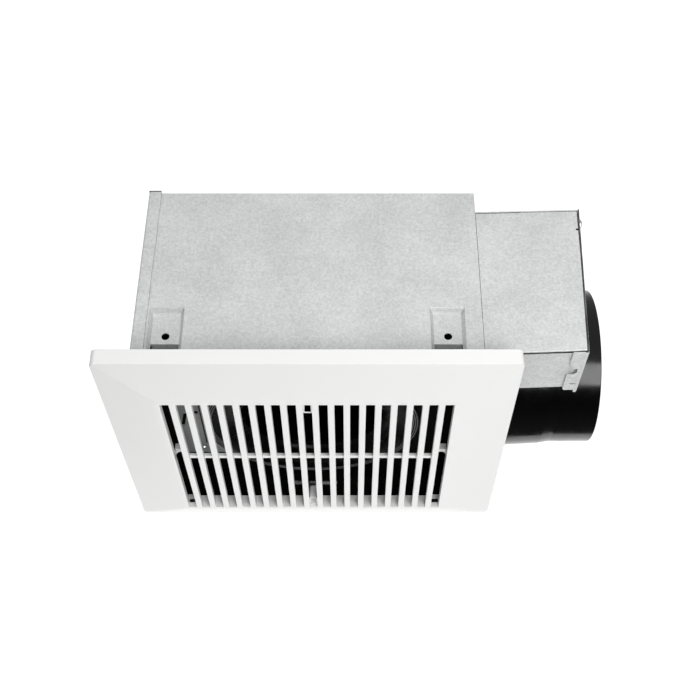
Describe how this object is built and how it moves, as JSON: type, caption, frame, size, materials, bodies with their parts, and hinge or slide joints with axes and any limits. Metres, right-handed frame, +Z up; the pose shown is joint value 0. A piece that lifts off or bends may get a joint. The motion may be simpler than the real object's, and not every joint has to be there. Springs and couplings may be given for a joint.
{
  "type": "bathroom extractor fan",
  "caption": "Ceiling extractor fan: galvanised housing with a slotted white grille below, a black round duct collar with a damper, a wiring box, a centrifugal blower and its motor.",
  "frame": {"origin": "middle of the ceiling opening, level with the top of the grille's rim and the underside of the ceiling", "axes": "+Z up into the roof space, +X towards the duct collar, -Y the front wall that holds the wiring box's front"},
  "size_m": [0.4478, 0.3048, 0.2149],
  "materials": {
    "galvanised_steel": "galvanised sheet with a fine spangle, dull",
    "black_plastic": "smooth glossy moulding",
    "white_plastic": "fine satin moulding",
    "bright_steel": "zinc plated, bright",
    "spring_steel": "drawn wire",
    "motor_paint": "satin black paint",
    "laminated_iron": "stacked laminations, dull",
    "copper_wire": "enamelled winding",
    "sintered_bronze": "porous, oiled",
    "black_rubber": "soft, matt",
    "grey_foam": "closed-cell foam, matt",
    "capacitor_case": "plain drawn case",
    "black_lead": "wire insulation",
    "white_lead": "wire insulation",
    "green_lead": "wire insulation",
    "green_screw": "green plated"
  },
  "bodies": {
    "root": {"housing_wrapper": "galvanised_steel", "housing_end_left": "galvanised_steel", "housing_end_right": "galvanised_steel", "spring_bracket_front": "galvanised_steel", "spring_bracket_back": "galvanised_steel", "duct_collar": "black_plastic", "damper_pin": "bright_steel", "damper_seal": "grey_foam", "ceiling_gasket": "black_rubber", "collar_screw_1": "bright_steel", "collar_screw_2": "bright_steel", "collar_screw_3": "bright_steel", "collar_screw_4": "bright_steel", "wiring_box": "galvanised_steel", "wiring_box_cover": "galvanised_steel", "cover_screw": "bright_steel", "cable_knockout": "galvanised_steel", "blower_scroll": "black_plastic", "blower_deck": "black_plastic", "blower_bracket": "galvanised_steel", "deck_screw_left_front": "bright_steel", "deck_screw_left_back": "bright_steel", "deck_screw_right_front": "bright_steel", "deck_screw_right_back": "bright_steel", "inlet_ring": "black_plastic", "motor_can_lower": "motor_paint", "motor_can_upper": "motor_paint", "stator_core": "laminated_iron", "winding_lower": "copper_wire", "winding_upper": "copper_wire", "bearing_lower": "sintered_bronze", "bearing_upper": "sintered_bronze", "motor_mount_plate": "galvanised_steel", "motor_screw_1": "bright_steel", "motor_screw_2": "bright_steel", "motor_screw_3": "bright_steel", "isolator_1": "black_rubber", "isolator_2": "black_rubber", "isolator_3": "black_rubber", "run_capacitor": "capacitor_case", "fan_receptacle": "black_plastic", "motor_plug": "white_plastic", "motor_lead": "black_lead", "terminal_block": "white_plastic", "lead_live": "black_lead", "lead_neutral": "white_lead", "lead_ground": "green_lead", "ground_screw": "green_screw"},
    "grille_panel": {"grille": "white_plastic", "grille_spring_front": "spring_steel", "grille_spring_back": "spring_steel"},
    "impeller_wheel": {"impeller": "black_plastic", "impeller_nut": "bright_steel", "motor_shaft": "bright_steel", "motor_rotor": "laminated_iron"},
    "damper": {"damper_flap": "black_plastic"}
  },
  "joints": [
    {"name": "grille_pull", "type": "slide", "parent": "root", "child": "grille_panel", "axis": [0, 0, -1], "range_m": [0, 0.045], "stiffness_N_per_m": 80, "springref_m": -0.12},
    {"name": "impeller_spin", "type": "hinge", "parent": "root", "child": "impeller_wheel", "pos_m": [0, 0, 0.118], "axis": [0, 0, 1], "continuous": true},
    {"name": "damper_swing", "type": "hinge", "parent": "root", "child": "damper", "pos_m": [0.1916, 0.032, 0.144], "axis": [0, -1, 0], "range_deg": [0, 55]}
  ]
}
